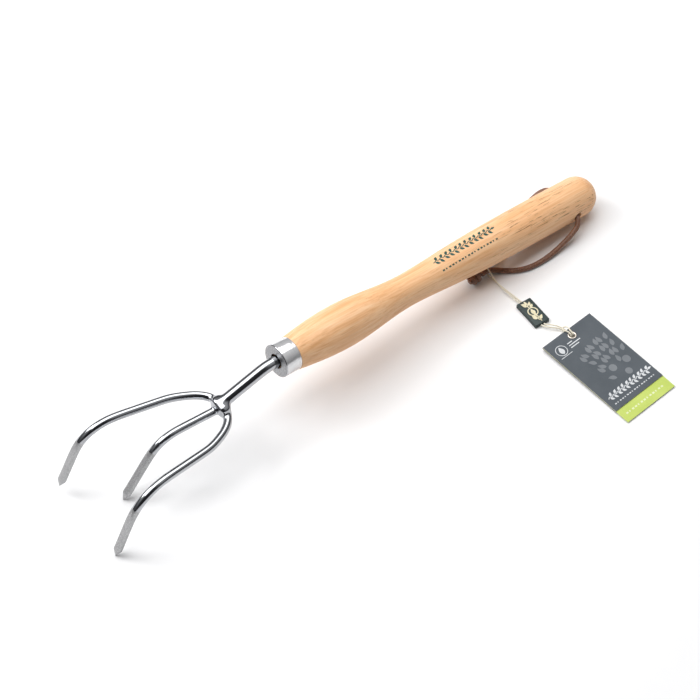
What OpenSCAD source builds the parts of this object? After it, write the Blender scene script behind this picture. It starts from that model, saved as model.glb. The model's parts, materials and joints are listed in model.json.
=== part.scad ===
// Hand cultivator: a three-tined steel head on a turned wooden handle, with a leather
// hanging loop at the butt and a swing tag tied to it.
// The tool is drawn on its own axis, +X towards the butt, and is then laid down at rest on
// the tip of the middle tine, the tip of the right-hand tine and the rounded butt.
// The origin is under the middle of the whole object, on the surface that it lies on.

/* [Handle] */
// Length from the front face of the ferrule to the butt
handle_len = 291.6; // [260:0.1:320]
// Diameter of the rounded butt
butt_d = 29.9; // [27:0.1:32]
// Diameter of the palm swell behind the ferrule
belly_d = 30.8; // [27:0.1:32]
// Distance from the ferrule's front face to the palm swell
belly_x = 54; // [45:1:62]
// Diameter of the waist
waist_d = 22.5; // [20:0.1:25]
// Distance from the ferrule's front face to the waist
waist_x = 113.5; // [100:0.5:125]
// Distance over which the grip swells again behind the waist
grip_span = 50; // [40:1:60]
// Diameter of the hole across the butt
hole_d = 6; // [5:0.1:7]
// Distance from the butt to that hole
hole_from_butt = 26.4; // [22:0.1:32]

/* [Ferrule] */
// Outer diameter of the ferrule
ferrule_d = 23.6; // [22:0.1:25]
// Length of the ferrule
ferrule_len = 12.6; // [10:0.1:16]
// Wall thickness of the ferrule
ferrule_wall = 0.8; // [0.6:0.1:1.2]
// Diameter of the opening in the ferrule's front face
ferrule_mouth_d = 10.6; // [9.6:0.1:12]

/* [Head] */
// Diameter of the neck
neck_d = 8.3; // [7.5:0.1:9]
// Diameter of the tines
tine_d = 5.8; // [5:0.1:6.2]
// How far the junction of the tines lies in front of the ferrule
junction_reach = 43; // [39:0.5:46]
// How far the junction lies below the handle's axis
junction_drop = 15; // [13:0.5:17]
// How far the tip of the middle tine lies in front of the ferrule
middle_reach = 115.2; // [108:0.2:122]
// How far the tips of the outer tines lie in front of the ferrule
outer_reach = 143.4; // [138:0.2:150]
// Half the distance between the tips of the outer tines
outer_half_span = 31.4; // [28:0.2:36]
// Depth of the middle tip below the handle's axis
middle_depth = 67.4; // [62:0.2:70]
// Depth of the outer tips below the handle's axis
outer_depth = 67.9; // [62:0.1:70]
// Length of the sharpened point of a tine
point_len = 6; // [3:0.5:8]

/* [Hanging loop] */
// Diameter of the leather thong
thong_d = 3.9; // [3:0.1:4.2]

/* [Seal and string] */
// Diameter of the string
string_d = 1.1; // [0.8:0.05:1.1]
// Width of the moulded seal
seal_w = 11.9; // [11:0.1:14]
// Length of the moulded seal
seal_len = 22.8; // [20:0.1:26]
// Thickness of the moulded seal
seal_t = 3.2; // [3:0.1:4.4]

/* [Swing tag] */
// Width of the tag
tag_w = 45.8; // [40:0.1:50]
// Length of the grey leaves
tag_len = 70; // [60:0.1:80]
// How far the green leaf shows past the grey ones
green_show = 11.3; // [6:0.1:14]
// Thickness of one leaf
leaf_t = 0.45; // [0.3:0.05:0.5]
// Outer diameter of the eyelet's flange
eyelet_d = 6.2; // [5.6:0.1:7]
// Inner diameter of the eyelet
eyelet_bore = 3.7; // [3.4:0.1:3.9]

/* [Hidden] */
$fn = 64;

// Handle, on its own axis
butt_r = butt_d / 2;
butt_centre = handle_len - butt_r;
hole_x = handle_len - hole_from_butt;
nose_x = 3;                 // where the wood starts inside the ferrule
nose_r = ferrule_d / 2 - ferrule_wall;
shoulder_r = ferrule_d / 2 + 0.2;
front_wall = 1.2;
tang_end = 58;
tang_r = 3.2;
tang_hole_r = 3.8;
tang_hole_end = 62;
neck_r = neck_d / 2;
tine_r = tine_d / 2;

// Rest: the plane that touches the butt's sphere, the middle tip and the right-hand tip
span_x = butt_centre + middle_reach;
step_x = middle_reach - outer_reach;
step_z = outer_depth - middle_depth;
tip_bite = 0.2;             // how far a blunt tip reaches past its own axis
middle_touch = middle_depth + tip_bite;
up0 = butt_r / middle_touch;
up1 = -span_x / middle_touch;
side0 = -up0 * step_z / outer_half_span;
side1 = (step_x - up1 * step_z) / outer_half_span;
qa = 1 + up1 * up1 + side1 * side1;
qb = 2 * (up0 * up1 + side0 * side1);
qc = up0 * up0 + side0 * side0 - 1;
rest_nx = (-qb - sqrt(qb * qb - 4 * qa * qc)) / (2 * qa);
rest_tilt = asin(-rest_nx);
rest_roll = atan2(side0 + side1 * rest_nx, up0 + up1 * rest_nx);
butt_x = 205.7;             // puts the origin under the middle of the object
axis_y = 59.7;

// String, seal and tag, measured from under the butt's centre line
seal_x = 114.4;
seal_y = -51.3;
seal_turn = -6.2;
seal_mid = 1.6;             // where the halves meet, level with the string
channel_r = 0.8;
tag_x = 120.8;
tag_top_y = -78;
tag_turn = 1.4;
tag_lean = 1.2;
eyelet_in = 5.8;            // from the tag's top edge to the eyelet
eyelet_r = eyelet_bore / 2 + 0.3;
washer_t = 0.3;
leaf_gap = 0.1;
leaf_hole_r = eyelet_r + 0.06;

function unit(v) = v / norm(v);
function ahead(x, y, z) = [-x, y, z];

// ---- placing ----

module on_tool() {
    translate([butt_x, axis_y, butt_r])
        rotate([rest_roll, rest_tilt, 0])
            translate([-butt_centre, 0, 0])
                children();
}

module on_ground() {
    translate([butt_x - 203, axis_y, 0])
        children();
}

module on_seal() {
    on_ground()
        translate([seal_x, seal_y, 0])
            rotate([0, 0, seal_turn])
                children();
}

// The tag's own frame: eyelet at the origin, leaves running towards -Y
module on_tag() {
    on_ground()
        translate([tag_x, tag_top_y - eyelet_in, 0])
            rotate([0, 0, tag_turn])
                translate([0, eyelet_in - tag_len, 0])
                    rotate([tag_lean, 0, 0])
                        translate([0, tag_len - eyelet_in, 0])
                            children();
}

// ---- shapes used more than once ----

// A shape turned about the X axis from a half profile of [x, radius] points
module turned(profile) {
    rotate([90, 0, 90])
        rotate_extrude()
            polygon([for (p = profile) [p[1], p[0]]]);
}

module bar(from, to, r) {
    v = to - from;
    translate(from)
        rotate([0, acos(v[2] / norm(v)), atan2(v[1], v[0])])
            cylinder(h = norm(v), r = r);
}

// The corner b between a and c, rounded to an arc of points
function corner_arc(a, b, c, radius, steps) =
    let (u = unit(b - a), w = unit(c - b), turn = acos(u * w), n = unit(w - u * (u * w)),
         centre = b - u * radius * tan(turn / 2) + n * radius)
    [for (i = [0:steps])
        let (t = turn * i / steps) centre + radius * (sin(t) * u - cos(t) * n)];

// A route of corners with each corner rounded
function rounded_route(route, radii, steps) = let (last = len(route) - 1)
    [route[0],
     for (i = [1:last - 1]) each corner_arc(route[i - 1], route[i], route[i + 1], radii[i], steps),
     route[last]];

function along(p, i) = unit(p[min(i + 1, len(p) - 1)] - p[max(i - 1, 0)]);
function square_to(n, t) = unit(n - t * (n * t));
function sides_of(p, first, i = 0) = i == len(p) ? [] :
    let (m = square_to(first, along(p, i))) concat([m], sides_of(p, m, i + 1));

function round_outline(r, sides) = [for (k = [0:sides - 1]) r * [cos(360 * k / sides), sin(360 * k / sides)]];
function flat_outline(r, half, sides) =
    [for (q = round_outline(r, sides)) [q[0], max(-half, min(half, q[1]))]];

// One closed skin through an outline at each point of a path
module swept(p, first, outlines) {
    n = sides_of(p, first);
    last = len(p) - 1;
    sides = len(outlines[0]);
    points = [for (i = [0:last], q = outlines[i]) p[i] + q[0] * n[i] + q[1] * cross(along(p, i), n[i])];
    walls = [for (i = [0:last - 1], k = [0:sides - 1])
        let (j = (k + 1) % sides)
        each [[i * sides + k, (i + 1) * sides + k, (i + 1) * sides + j],
              [i * sides + k, (i + 1) * sides + j, i * sides + j]]];
    caps = [[for (k = [0:sides - 1]) k], [for (k = [sides - 1:-1:0]) last * sides + k]];
    polyhedron(points, concat(caps, walls));
}

// A round cord along a route, with a ring of 8 sides at each of its points
module cord(route, d) {
    swept(route, [0.3, 0.2, 1], [for (q = route) round_outline(d / 2, 8)]);
}

module rounded_plate(w, l, h, r) {
    linear_extrude(h) {
        square([w - 2 * r, l], center = true);
        square([w, l - 2 * r], center = true);
        for (x = [-1, 1], y = [-1, 1])
            translate([x * (w / 2 - r), y * (l / 2 - r)])
                circle(r);
    }
}

// ---- handle ----

function handle_r(x) =
    x < belly_x ? shoulder_r + (belly_d / 2 - shoulder_r) * sin(90 * (x - ferrule_len) / (belly_x - ferrule_len)) :
    x < waist_x ? belly_d / 2 - (belly_d - waist_d) / 4 * (1 - cos(180 * (x - belly_x) / (waist_x - belly_x))) :
    butt_r - (butt_d - waist_d) / 2 * exp(-pow((x - waist_x) / grip_span, 1.7));

module handle() {
    steps = 48;
    body = [for (i = [0:steps])
        let (x = ferrule_len + (butt_centre - ferrule_len) * i / steps) [x, handle_r(x)]];
    color("burlywood")
        on_tool()
            difference() {
                union() {
                    turned(concat([[nose_x, 0], [nose_x, nose_r], [ferrule_len, nose_r]], body,
                                  [[butt_centre, 0]]));
                    translate([butt_centre, 0, 0])
                        sphere(handle_r(butt_centre));
                }
                turned([[nose_x - 1, 0], [nose_x - 1, tang_hole_r], [tang_hole_end, tang_hole_r],
                        [tang_hole_end, 0]]);
                translate([hole_x, 0, 0])
                    rotate([90, 0, 0])
                        cylinder(h = 2 * butt_d, r = hole_d / 2, center = true);
            }
}

// ---- ferrule ----

module ferrule() {
    r = ferrule_d / 2;
    bevel = 0.5;
    mouth_r = ferrule_mouth_d / 2;
    color("silver")
        on_tool()
            difference() {
                turned([[0, mouth_r], [0, r - bevel], [bevel, r], [ferrule_len, r],
                        [ferrule_len, nose_r], [front_wall, nose_r], [front_wall, mouth_r]]);
                // punch mark that holds the ferrule on the wood
                translate([ferrule_len - 3, 0, 0])
                    rotate([152, 0, 0])
                        translate([0, 0, r + 0.5])
                            sphere(1);
            }
}

// ---- head ----

palm = ahead(junction_reach, 0, -junction_drop);
bow_x = junction_reach - 1;
bow_z = -junction_drop - 3.5;
root_z = -junction_drop - 4.7;
left_route = [ahead(outer_reach, outer_half_span, -outer_depth),
              ahead(outer_reach - 15.3, outer_half_span - 1.2, bow_z + 6.9),
              ahead(bow_x + 24.6, 22.9, bow_z + 1),
              ahead(bow_x + 9.2, 16.7, bow_z),
              ahead(bow_x, 9, bow_z),
              ahead(bow_x, 0, bow_z)];
left_radii = [0, 26, 25, 12, 5, 0];
middle_route = [ahead(middle_reach, 0, -middle_depth),
                ahead(middle_reach - 23.4, 0, root_z + 2.5),
                ahead(junction_reach + 2, 0, root_z)];
middle_radii = [0, 20, 0];
ground_len = 36;            // ground and flattened part of a leg
flat_half = tine_r - 0.5;

// A tine from its point to its root
module tine(route, radii) {
    sides = 16;
    tip = route[0];
    u = unit(route[1] - tip);
    shank = rounded_route(concat([tip + u * (ground_len + 4)], [for (i = [1:len(route) - 1]) route[i]]),
                          radii, 6);
    flat = flat_outline(tine_r, flat_half, sides);
    swept(concat([tip, tip + u * point_len, tip + u * ground_len], shank), [0, 1, 0],
          concat([round_outline(0.4, sides), flat, flat], [for (q = shank) round_outline(tine_r, sides)]));
}

// The bent neck, with the rounded end that makes the palm
module neck_bar() {
    path = rounded_route([[nose_x, 0, 0], ahead(8, 0, 0), palm], [0, 22, 0], 6);
    v = unit(palm - path[len(path) - 2]);
    dome = [20, 40, 60, 80];
    swept(concat(path, [for (t = dome) palm + v * neck_r * sin(t)]), [0, 1, 0],
          concat([for (q = path) round_outline(neck_r, 24)],
                 [for (t = dome) round_outline(neck_r * cos(t), 24)]));
}

// The straight stretches of the tines that meet at the palm
module roots() {
    bar(ahead(bow_x, -9, bow_z), ahead(bow_x, 9, bow_z), tine_r);
    bar(middle_route[2], (middle_route[1] + middle_route[2]) / 2, tine_r);
}

module neck_tang() {
    color("silver")
        on_tool()
            difference() {
                union() {
                    neck_bar();
                    turned([[nose_x - 1, 0], [nose_x - 1, tang_r], [tang_end - 5, tang_r],
                            [tang_end, 0.8], [tang_end, 0]]);
                }
                roots();
            }
}

module tang_resin() {
    color("wheat")
        on_tool()
            difference() {
                turned([[nose_x, 0], [nose_x, tang_hole_r], [tang_hole_end, tang_hole_r],
                        [tang_hole_end, 0]]);
                turned([[nose_x - 1, 0], [nose_x - 1, tang_r], [tang_end - 5, tang_r],
                        [tang_end, 0.8], [tang_end, 0]]);
            }
}

module outer_tines() {
    color("silver")
        on_tool()
            for (side = [0, 1])
                mirror([0, side, 0])
                    tine(left_route, left_radii);
}

module middle_tine() {
    color("silver")
        on_tool()
            tine(middle_route, middle_radii);
}

// Weld metal in the crotch between the middle tine and one side of the bow
module weld(side) {
    color("gray")
        on_tool()
            difference() {
                translate(ahead(junction_reach + 2, side * 4.2, -junction_drop - 3))
                    sphere(2.5);
                neck_bar();
                roots();
            }
}

module weld_left() {
    weld(1);
}

module weld_right() {
    weld(-1);
}

// ---- hanging loop ----

knot_at = [103, -3, 6.1];
thong_route = [[108.6, -4.4, 5], [112.6, -4.4, 5], [117, -5, 3.7], [122.4, -8.6, 2.4],
               [129, -14, 2], [137.4, -18.6, 2], [146, -20.7, 2], [155, -21.4, 2.4],
               [163.4, -21.3, 3.4], [172, -20.9, 5.3], [178.6, -20.5, 7.4], [183.2, -19.9, 9.3],
               [186.7, -19.1, 11], [189.2, -17.4, 13.1], [190.9, -14.8, 14.6], [191.5, -11.2, 15.3],
               [191.6, 0, 16.5],
               [191.8, 11.2, 17.6], [191.4, 14.4, 17.6], [190.3, 17, 16.9], [188.4, 18.9, 15.5],
               [185.6, 20.4, 13.4], [180.4, 21.8, 9.3], [174.4, 21.6, 5.6], [166.6, 18.6, 2.8],
               [156, 13.4, 2], [144.4, 7.8, 2], [132.6, 3.3, 2.5], [121.4, 0.8, 4.4],
               [112.6, 0.2, 6.4], [108.6, 0.2, 6.4]];

module lanyard_thong() {
    color("saddlebrown")
        on_ground()
            cord(thong_route, thong_d);
}

module lanyard_knot() {
    color("saddlebrown")
        on_ground()
            translate(knot_at)
                union() {
                    for (turn = [-1, 1])
                        translate([2.1 * turn, 0, 0])
                            rotate([0, 90 + 12 * turn, 8 * turn])
                                rotate_extrude()
                                    translate([4, 0])
                                        circle(2, $fn = 32);
                    rotate([0, 90, 0])
                        cylinder(h = 11, r = 3.7, center = true);
                }
}

// ---- string and seal ----

// From the seal up over both runs of the thong, round them and back to the seal
hanger_route = [[113.4, -39.7, 1.6], [113.1, -32, 1.8], [112.9, -26, 1.9], [112.9, -21, 2.2],
                [113, -16, 2.9], [113.2, -11.4, 4.6], [113.3, -8, 6.8], [113.3, -5, 8.4],
                [113.3, -1.8, 9.2], [113.3, 1.3, 9], [113.3, 3.4, 7.4], [113.4, 4, 5.3],
                [113.5, 2.9, 3.3], [113.6, 0.4, 2], [113.8, -6.4, 1.1], [114, -11, 0.8],
                [114.2, -16, 0.7], [114.4, -21, 0.7], [114.7, -26, 0.8], [115, -32, 1.1],
                [115.3, -39.9, 1.6]];

module hanger_string() {
    color("cornsilk")
        on_ground()
            cord(hanger_route, string_d);
}

module seal_half(low, high) {
    difference() {
        translate([0, 0, low])
            rounded_plate(seal_w, seal_len, high - low, 1);
        // channel for the string
        translate([0, 0, seal_mid])
            rotate([90, 0, 0])
                cylinder(h = seal_len - 3, r = channel_r, center = true);
    }
}

module seal_face_half() {
    color("darkslategray")
        on_seal()
            seal_half(seal_mid, seal_t);
}

module seal_back_half() {
    color("darkslategray")
        on_seal()
            seal_half(0, seal_mid);
}

module seal_emblem() {
    color("cornsilk")
        on_seal()
            translate([0, 0, seal_t])
                linear_extrude(0.3)
                    difference() {
                        circle(4);
                        circle(3);
                    }
}

// Two strands from the seal pass under the tag's edge and up through the eyelet, and their
// loop comes back over the edge and closes round them
tag_string_route = [[111.7, -62.7, 1.6], [112, -65, 2.3], [113.9, -68.3, 3], [118.6, -73.2, 2.4],
                    [120.1, -75.4, 1.3], [120.1, -79.8, 0.6], [120, -81.9, 0.6], [120, -83.4, 1.4],
                    [120, -84.1, 2.8], [120, -83.3, 4.3], [119.9, -81.6, 4.9], [119.5, -79.6, 4.8],
                    [118.9, -77.8, 4.4], [119.2, -76.1, 4], [120.8, -75, 3.6], [122.4, -76.1, 4],
                    [122.7, -77.8, 4.4], [122.1, -79.6, 4.8], [121.8, -81.6, 4.9],
                    [121.6, -83.3, 4.3], [121.6, -84.1, 2.8], [121.6, -83.4, 1.4],
                    [121.6, -81.9, 0.6], [121.6, -79.8, 0.6], [121.5, -75.4, 1.3],
                    [119.9, -72.4, 2.4], [115.9, -67.2, 3], [114.2, -64.9, 2.3],
                    [114, -63, 1.6]];

module tag_string() {
    color("cornsilk")
        on_ground()
            cord(tag_string_route, string_d);
}

// ---- swing tag ----

module leaf(level, length) {
    base = washer_t + leaf_gap + level * (leaf_t + leaf_gap);
    difference() {
        translate([-tag_w / 2, eyelet_in - length, base])
            cube([tag_w, length, leaf_t]);
        translate([0, 0, base - 1])
            cylinder(h = leaf_t + 2, r = leaf_hole_r);
    }
}

stack_top = washer_t + leaf_gap + 3 * (leaf_t + leaf_gap);

module tag_back_leaf() {
    color("slategray")
        on_tag()
            leaf(0, tag_len);
}

module tag_green_leaf() {
    color("yellowgreen")
        on_tag()
            leaf(1, tag_len + green_show);
}

module tag_front_leaf() {
    color("slategray")
        on_tag()
            leaf(2, tag_len);
}

module eyelet() {
    inner = eyelet_bore / 2;
    color("silver")
        on_tag()
            rotate_extrude()
                polygon([[inner, 0], [eyelet_r, 0], [eyelet_r, stack_top], [eyelet_d / 2, stack_top],
                         [eyelet_d / 2 - 0.3, stack_top + 0.4], [inner + 0.3, stack_top + 0.4],
                         [inner, stack_top]]);
}

module eyelet_washer() {
    color("silver")
        on_tag()
            difference() {
                cylinder(h = washer_t, r = eyelet_d / 2);
                translate([0, 0, -1])
                    cylinder(h = washer_t + 2, r = eyelet_r);
            }
}

handle();
ferrule();
neck_tang();
tang_resin();
outer_tines();
middle_tine();
weld_left();
weld_right();
lanyard_thong();
lanyard_knot();
hanger_string();
seal_face_half();
seal_back_half();
seal_emblem();
tag_string();
tag_back_leaf();
tag_green_leaf();
tag_front_leaf();
eyelet();
eyelet_washer();
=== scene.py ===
"""The hand cultivator's looks: steel, turned wood, leather, string, seal and swing tag round the frame."""
import json
import math

import bmesh
import bpy
import numpy as np
from mathutils import Matrix, Vector


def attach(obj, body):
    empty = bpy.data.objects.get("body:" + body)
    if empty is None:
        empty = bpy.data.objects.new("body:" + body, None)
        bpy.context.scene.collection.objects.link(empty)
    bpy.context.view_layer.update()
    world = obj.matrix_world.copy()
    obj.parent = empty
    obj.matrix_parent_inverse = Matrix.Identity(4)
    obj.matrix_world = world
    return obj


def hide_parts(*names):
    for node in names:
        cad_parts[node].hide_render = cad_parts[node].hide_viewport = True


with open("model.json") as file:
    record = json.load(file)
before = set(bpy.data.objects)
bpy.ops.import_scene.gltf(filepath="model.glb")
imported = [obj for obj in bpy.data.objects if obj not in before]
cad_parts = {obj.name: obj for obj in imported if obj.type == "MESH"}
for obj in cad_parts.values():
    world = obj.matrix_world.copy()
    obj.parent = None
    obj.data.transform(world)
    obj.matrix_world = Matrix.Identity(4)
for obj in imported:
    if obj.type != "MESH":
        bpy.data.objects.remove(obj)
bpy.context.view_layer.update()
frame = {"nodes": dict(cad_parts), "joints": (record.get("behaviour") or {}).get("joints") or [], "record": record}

MM = 0.001
mounts = {m["name"]: m for m in frame["record"]["mounts"]}
joints = {j["name"]: j for j in frame["joints"]}

# Driving dimensions in millimetres, as the CAD model has them
HANDLE_LEN, BUTT_D, BELLY_D, BELLY_X = 291.6, 29.9, 30.8, 54.0
WAIST_D, WAIST_X, GRIP_SPAN = 22.5, 113.5, 50.0
HOLE_D, HOLE_FROM_BUTT = 6.0, 26.4
FERRULE_D, FERRULE_LEN, FERRULE_WALL, MOUTH_D = 23.6, 12.6, 0.8, 10.6
NECK_D, TINE_D, JUNCTION_REACH, JUNCTION_DROP = 8.3, 5.8, 43.0, 15.0
MIDDLE_REACH, OUTER_REACH, HALF_SPAN = 115.2, 143.4, 31.4
MIDDLE_DEPTH, OUTER_DEPTH, POINT_LEN, GROUND_LEN = 67.4, 67.9, 6.0, 36.0
THONG_D, STRING_D = 3.9, 1.1
SEAL_W, SEAL_LEN, SEAL_T, SEAL_SPLIT = 11.9, 22.8, 3.2, 1.6
TAG_W, TAG_LEN, GREEN_SHOW, LEAF_T, LEAF_GAP = 45.8, 70.0, 11.3, 0.45, 0.1
EYELET_D, EYELET_BORE, EYELET_IN, WASHER_T = 6.2, 3.7, 5.8, 0.3
NOSE_X, SEAT_X, FRONT_WALL = 3.0, 6.5, 1.2
TANG_HOLE_R, TANG_HOLE_END = 3.8, 62.0

# How the tag and the seal lie on the ground, in degrees, and where the seal's middle is
TAG_TURN, TAG_LEAN, SEAL_TURN = 1.4, 1.2, -6.2
SEAL_AT = (114.4, -51.3, 0)


def axes(x, y, z, at):
    """A placing whose columns are three directions and a point in metres."""
    m = Matrix((x, y, z)).transposed().to_4x4()
    m.translation = at
    return m


# The tool's own frame: X towards the butt from the ferrule's front face, Y left, Z up
tool_x = -Vector(mounts["ferrule_clip_seat"]["axis"])
tool_y = -Vector(joints["loop_swing"]["axis"])
TOOL = axes(tool_x, tool_y, tool_x.cross(tool_y),
            Vector(mounts["ferrule_clip_seat"]["pos_m"]) - tool_x * SEAT_X * MM)
# The frame that the cords, the knot and the seal are laid out in, on the floor
GROUND = Matrix.Translation(Vector((2.7, 59.7, 0)) * MM)
SEAL = GROUND @ Matrix.Translation(Vector(SEAL_AT) * MM) @ Matrix.Rotation(math.radians(SEAL_TURN), 4, "Z")
TAG = (Matrix.Translation(joints["tag_turn"]["pos_m"]) @ Matrix.Rotation(math.radians(TAG_TURN), 4, "Z")
       @ Matrix.Rotation(math.radians(TAG_LEAN), 4, "X"))


# ---------------- camera and light

CAMERA_TARGET = Vector((-0.0006, 0.0661, 0.0))
CAMERA_AZIMUTH, CAMERA_ELEVATION, CAMERA_ROLL = (math.radians(a) for a in (-39.7, 52.74, -0.12))
CAMERA_DISTANCE, CAMERA_LENS, SENSOR_WIDTH = 1.3064, 97.7, 36.0
FRONT = (-0.42, -0.66, 0.62)    # the way that the studio is darkest
SKY_STRENGTH = 0.55
# Name, place, size, power and the point that each light faces
LIGHTS = [("overhead", (0.03, 0.44, 1.35), (2.25, 1.25), 22.5, (0.03, 0.42, 0)),
          ("key", (-0.75, 1.05, 1.15), (0.7, 0.7), 11, (0, 0.04, 0))]


def make_camera():
    data = bpy.data.cameras.new("camera")
    data.lens = CAMERA_LENS
    data.sensor_width = SENSOR_WIDTH
    data.clip_start, data.clip_end = 0.05, 50.0
    camera = bpy.data.objects.new("camera", data)
    bpy.context.collection.objects.link(camera)
    flat = math.cos(CAMERA_ELEVATION)
    back = Vector((math.sin(CAMERA_AZIMUTH) * flat, -math.cos(CAMERA_AZIMUTH) * flat,
                   math.sin(CAMERA_ELEVATION)))
    camera.location = CAMERA_TARGET + back * CAMERA_DISTANCE
    camera.rotation_mode = "QUATERNION"
    aim = (-back).to_track_quat("-Z", "Y")
    camera.rotation_quaternion = aim @ Matrix.Rotation(CAMERA_ROLL, 3, "Z").to_quaternion()
    bpy.context.scene.camera = camera


def area_light(name, at, size, power, aim):
    data = bpy.data.lights.new(name, "AREA")
    data.shape = "RECTANGLE"
    data.size, data.size_y = size
    data.energy = power
    light = bpy.data.objects.new(name, data)
    light.location = at
    light.rotation_mode = "QUATERNION"
    light.rotation_quaternion = (Vector(aim) - Vector(at)).to_track_quat("-Z", "Y")
    bpy.context.collection.objects.link(light)


def make_studio():
    """A white tent: a soft box overhead, dark at the horizon and darker still towards the front."""
    bpy.context.scene.view_settings.view_transform = "Standard"
    world = bpy.data.worlds.new("studio")
    world.use_nodes = True
    bpy.context.scene.world = world
    sky = Nodes(world.node_tree)
    way = sky.coords.outputs["Generated"]
    height = sky.node("ShaderNodeSeparateXYZ", {"Vector": way}).outputs["Z"]
    front = sky.node("ShaderNodeVectorMath", {0: way, 1: FRONT}, operation="DOT_PRODUCT").outputs["Value"]
    glow = sky.ramp(height, [(0.0, (0.10, 0.10, 0.105)), (0.3, (0.20, 0.20, 0.21)),
                             (0.62, (0.62, 0.62, 0.63)), (0.85, (1, 1, 1))])
    dim = sky.steps(front, 0.62, 0.90, (0.0, 0.93))
    background = world.node_tree.nodes["Background"]
    sky.feed(background.inputs["Color"], sky.mix(dim, glow, (0.02, 0.02, 0.025)))
    background.inputs["Strength"].default_value = SKY_STRENGTH
    for light in LIGHTS:
        area_light(*light)


def make_floor():
    bpy.ops.mesh.primitive_plane_add(size=6, location=(0, 0, 0))
    floor = bpy.context.object
    floor.name = "floor"
    m = Shader("floor_paper", own=False)
    cloud = m.noise(0.05)
    m.surface(m.mix(cloud, (0.925, 0.925, 0.93), (0.94, 0.94, 0.945)), 0.85)
    floor.data.materials.append(m.material)


# ---------------- materials

class Nodes:
    """A node tree and short calls for the nodes in it."""

    def __init__(self, tree):
        self.tree = tree
        self.coords = tree.nodes.new("ShaderNodeTexCoord")
        self.spot = self.coords.outputs["Object"]

    def node(self, kind, inputs=(), **settings):
        n = self.tree.nodes.new(kind)
        for key, value in settings.items():
            setattr(n, key, value)
        for key, value in dict(inputs).items():
            self.feed(n.inputs[key], value)
        return n

    def feed(self, socket, value):
        if isinstance(value, bpy.types.NodeSocket):
            self.tree.links.new(value, socket)
        elif isinstance(value, (tuple, list)) and socket.type == "RGBA" and len(value) == 3:
            socket.default_value = (*value, 1)
        else:
            socket.default_value = value

    def place(self, scale=(1, 1, 1), rotate=(0, 0, 0), shift=(0, 0, 0)):
        """The piece's own coordinates in millimetres, scaled to the texture's own size."""
        inputs = {"Vector": self.spot, "Location": shift, "Rotation": rotate,
                  "Scale": [s / MM for s in scale]}
        return self.node("ShaderNodeMapping", inputs).outputs[0]

    def noise(self, scale, detail=4.0, roughness=0.55, distortion=0.0, **placing):
        """Noise with one scale for all three of the piece's axes, or one for each."""
        at = self.place(scale if isinstance(scale, tuple) else (scale,) * 3, **placing)
        inputs = {"Vector": at, "Scale": 1.0, "Detail": detail, "Roughness": roughness,
                  "Distortion": distortion}
        return self.node("ShaderNodeTexNoise", inputs).outputs["Fac"]

    def ramp(self, value, stops):
        """A colour ramp through (position, colour) stops."""
        n = self.node("ShaderNodeValToRGB", {"Fac": value})
        while len(n.color_ramp.elements) < len(stops):
            n.color_ramp.elements.new(0.5)
        for element, (at, colour) in zip(n.color_ramp.elements, stops):
            element.position = at
            element.color = (*colour, 1)
        return n.outputs[0]

    def steps(self, value, low, high, out=(0.0, 1.0)):
        """A smooth step of a value from low to high, given out between two numbers."""
        return self.node("ShaderNodeMapRange", {"Value": value, "From Min": low, "From Max": high,
                                                "To Min": out[0], "To Max": out[1]},
                         interpolation_type="SMOOTHSTEP").outputs[0]

    def mix(self, amount, a, b):
        n = self.node("ShaderNodeMix", data_type="RGBA")
        self.feed(n.inputs["Factor"], amount)
        self.feed(n.inputs["A"], a)
        self.feed(n.inputs["B"], b)
        return n.outputs["Result"]

    def math(self, what, a, b=0.0):
        n = self.node("ShaderNodeMath", operation=what)
        self.feed(n.inputs[0], a)
        self.feed(n.inputs[1], b)
        return n.outputs[0]

    def times(self, a, b):
        return self.math("MULTIPLY", a, b)

    def plus(self, a, b):
        return self.math("ADD", a, b)

    def attribute(self, name):
        return self.node("ShaderNodeAttribute", attribute_name=name).outputs["Fac"]


class Shader(Nodes):
    """A Principled material, for a piece that keeps its own coordinates or for any other object."""

    def __init__(self, name, own=True):
        self.material = bpy.data.materials.new(name)
        self.material.use_nodes = True
        super().__init__(self.material.node_tree)
        self.bsdf = self.tree.nodes["Principled BSDF"]
        if own:
            self.spot = self.node("ShaderNodeAttribute", attribute_name="at").outputs["Vector"]

    def surface(self, colour, roughness, metallic=0.0, **more):
        values = {"Base Color": colour, "Roughness": roughness, "Metallic": metallic, **more}
        for key, value in values.items():
            self.feed(self.bsdf.inputs[key.replace("_", " ")], value)

    def bump(self, height, distance, strength=1.0):
        n = self.node("ShaderNodeBump", {"Height": height, "Distance": distance * MM, "Strength": strength})
        self.feed(self.bsdf.inputs["Normal"], n.outputs[0])


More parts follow.
